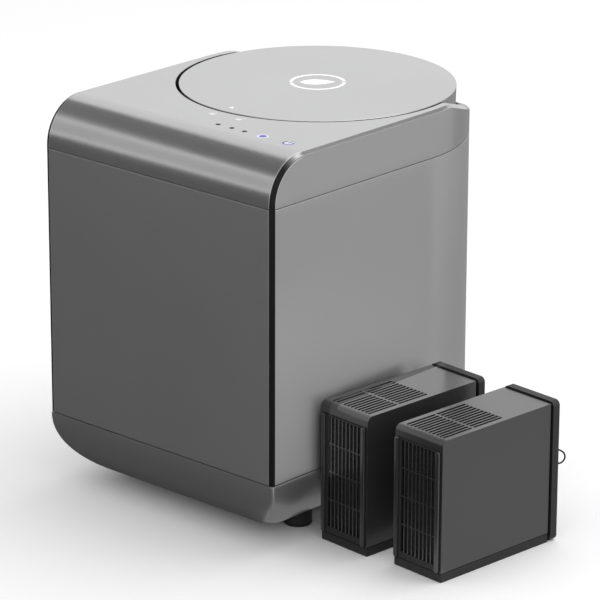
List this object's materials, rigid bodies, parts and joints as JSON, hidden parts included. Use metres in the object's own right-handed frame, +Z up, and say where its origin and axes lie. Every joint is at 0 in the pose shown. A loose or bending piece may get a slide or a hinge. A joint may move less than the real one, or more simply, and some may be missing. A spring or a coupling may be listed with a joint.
{
  "type": "electric food waste composter",
  "caption": "Worktop food waste composter with a rounded case, twist lid, lift-out stirred bucket, geared drive, fan, rear filter cartridge bays and spare filter cartridges beside it.",
  "frame": {"origin": "on the surface that it stands on, under the middle of the box round the machine and its spare cartridges", "axes": "+Z up, +Y from the flat front panel to the round back, +X to the side where the spare cartridges stand"},
  "size_m": [0.4382, 0.3769, 0.3675],
  "materials": {
    "case_panel": "satin metallic grey paint on moulded plastic",
    "top_plastic": "satin silver-grey moulded plastic",
    "strip_black": "glossy black plastic trim",
    "tray_plastic": "satin metallic grey paint on moulded plastic",
    "rubber_black": "matte black rubber",
    "lens_black": "dark indicator windows",
    "lens_blue": "clear window over a touch key",
    "board_green": "printed circuit board",
    "pot_metal": "drawn aluminium",
    "fibre_mat": "pressed fibre mat",
    "bucket_coat": "dark non-stick coating on aluminium",
    "steel": "brushed steel",
    "gear_plastic": "white engineering plastic",
    "brass": "turned brass",
    "motor_metal": "black motor can",
    "duct_plastic": "dark moulded plastic",
    "cartridge_grey": "fine matte grey plastic",
    "cartridge_black": "matte black plastic",
    "carbon": "activated carbon granules",
    "loop_cord": "thin black braided cord"
  },
  "bodies": {
    "case": {"base_tray": "tray_plastic", "rubber_feet": "rubber_black", "front_panel": "case_panel", "wrap_shell": "case_panel", "top_shell": "top_plastic", "corner_strips": "strip_black", "status_lenses": "lens_black", "power_lens": "lens_blue", "touch_board": "board_green", "power_board": "board_green", "lid_sensor": "duct_plastic", "chamber_pot": "pot_metal", "insulation": "fibre_mat", "heater_plate": "pot_metal", "bearings": "steel", "gear_plate": "steel", "gear_cover": "steel", "frame_posts": "steel", "motor": "motor_metal", "fan_frame": "duct_plastic", "exhaust_pipe": "duct_plastic", "fan_cowl": "duct_plastic", "plenum": "duct_plastic", "bay_housing": "duct_plastic", "rear_panel": "duct_plastic", "mains_inlet": "duct_plastic", "screws": "steel"},
    "lid_inner": {"lid_core": "duct_plastic", "lid_seal": "rubber_black"},
    "lid_outer": {"lid_cover": "top_plastic", "lid_magnet": "steel"},
    "bucket": {"bucket": "bucket_coat", "bucket_bush": "brass"},
    "bail": {"bucket_bail": "steel"},
    "stirrer": {"stirrer": "steel", "stirrer_arms": "steel"},
    "drive": {"output_shaft": "steel", "output_gear": "gear_plastic"},
    "pinion": {"motor_pinion": "brass"},
    "fan": {"fan_wheel": "duct_plastic"},
    "filter_l": {"filter_l_shell": "cartridge_grey", "filter_l_grille": "cartridge_grey", "filter_l_carbon": "carbon", "filter_l_cap": "cartridge_black", "filter_l_loop": "loop_cord"},
    "filter_r": {"filter_r_shell": "cartridge_grey", "filter_r_grille": "cartridge_grey", "filter_r_carbon": "carbon", "filter_r_cap": "cartridge_black", "filter_r_loop": "loop_cord"},
    "spare_a": {"spare_a_shell": "cartridge_grey", "spare_a_grille": "cartridge_grey", "spare_a_carbon": "carbon", "spare_a_cap": "cartridge_black", "spare_a_loop": "loop_cord"},
    "spare_b": {"spare_b_shell": "cartridge_grey", "spare_b_grille": "cartridge_grey", "spare_b_carbon": "carbon", "spare_b_cap": "cartridge_black", "spare_b_loop": "loop_cord"}
  },
  "joints": [
    {"name": "lid_lift", "type": "slide", "parent": "case", "child": "lid_inner", "axis": [0, 0, 1], "range_m": [0, 0.36]},
    {"name": "lid_twist", "type": "hinge", "parent": "lid_inner", "child": "lid_outer", "pos_m": [-0.07914, 0.03675, 0.3675], "axis": [0, 0, 1], "range_deg": [0, 12]},
    {"name": "bucket_lift", "type": "slide", "parent": "case", "child": "bucket", "axis": [0, 0, 1], "range_m": [0, 0.18]},
    {"name": "bail_swing", "type": "hinge", "parent": "bucket", "child": "bail", "pos_m": [-0.07914, 0.03675, 0.3393], "axis": [1, 0, 0], "range_deg": [0, 90]},
    {"name": "stirrer_spin", "type": "hinge", "parent": "bucket", "child": "stirrer", "pos_m": [-0.07914, 0.03675, 0.2154], "axis": [0, 0, 1], "continuous": true},
    {"name": "output_spin", "type": "hinge", "parent": "case", "child": "drive", "pos_m": [-0.07914, 0.03675, 0.1796], "axis": [0, 0, 1], "continuous": true},
    {"name": "pinion_spin", "type": "hinge", "parent": "case", "child": "pinion", "pos_m": [-0.02314, -0.03825, 0.1796], "axis": [0, 0, 1], "continuous": true},
    {"name": "fan_spin", "type": "hinge", "parent": "case", "child": "fan", "pos_m": [-0.15814, -0.01875, 0.10425], "axis": [0, 1, 0], "continuous": true},
    {"name": "filter_l_slide", "type": "slide", "parent": "case", "child": "filter_l", "axis": [0, 1, 0], "range_m": [0, 0.165]},
    {"name": "filter_r_slide", "type": "slide", "parent": "case", "child": "filter_r", "axis": [0, 1, 0], "range_m": [0, 0.165]},
    {"name": "spare_a_lift", "type": "slide", "parent": "case", "child": "spare_a", "axis": [0, 0, 1], "range_m": [0, 0.15]},
    {"name": "spare_b_lift", "type": "slide", "parent": "case", "child": "spare_b", "axis": [0, 0, 1], "range_m": [0, 0.15]}
  ],
  "couplings": [
    {"joint": "bucket_lift", "follows": "lid_lift", "ratio": 0.5},
    {"joint": "bail_swing", "follows": "lid_lift", "rad_per_m": 4.363},
    {"joint": "stirrer_spin", "follows": "output_spin", "ratio": 1},
    {"joint": "pinion_spin", "follows": "output_spin", "ratio": -5}
  ]
}
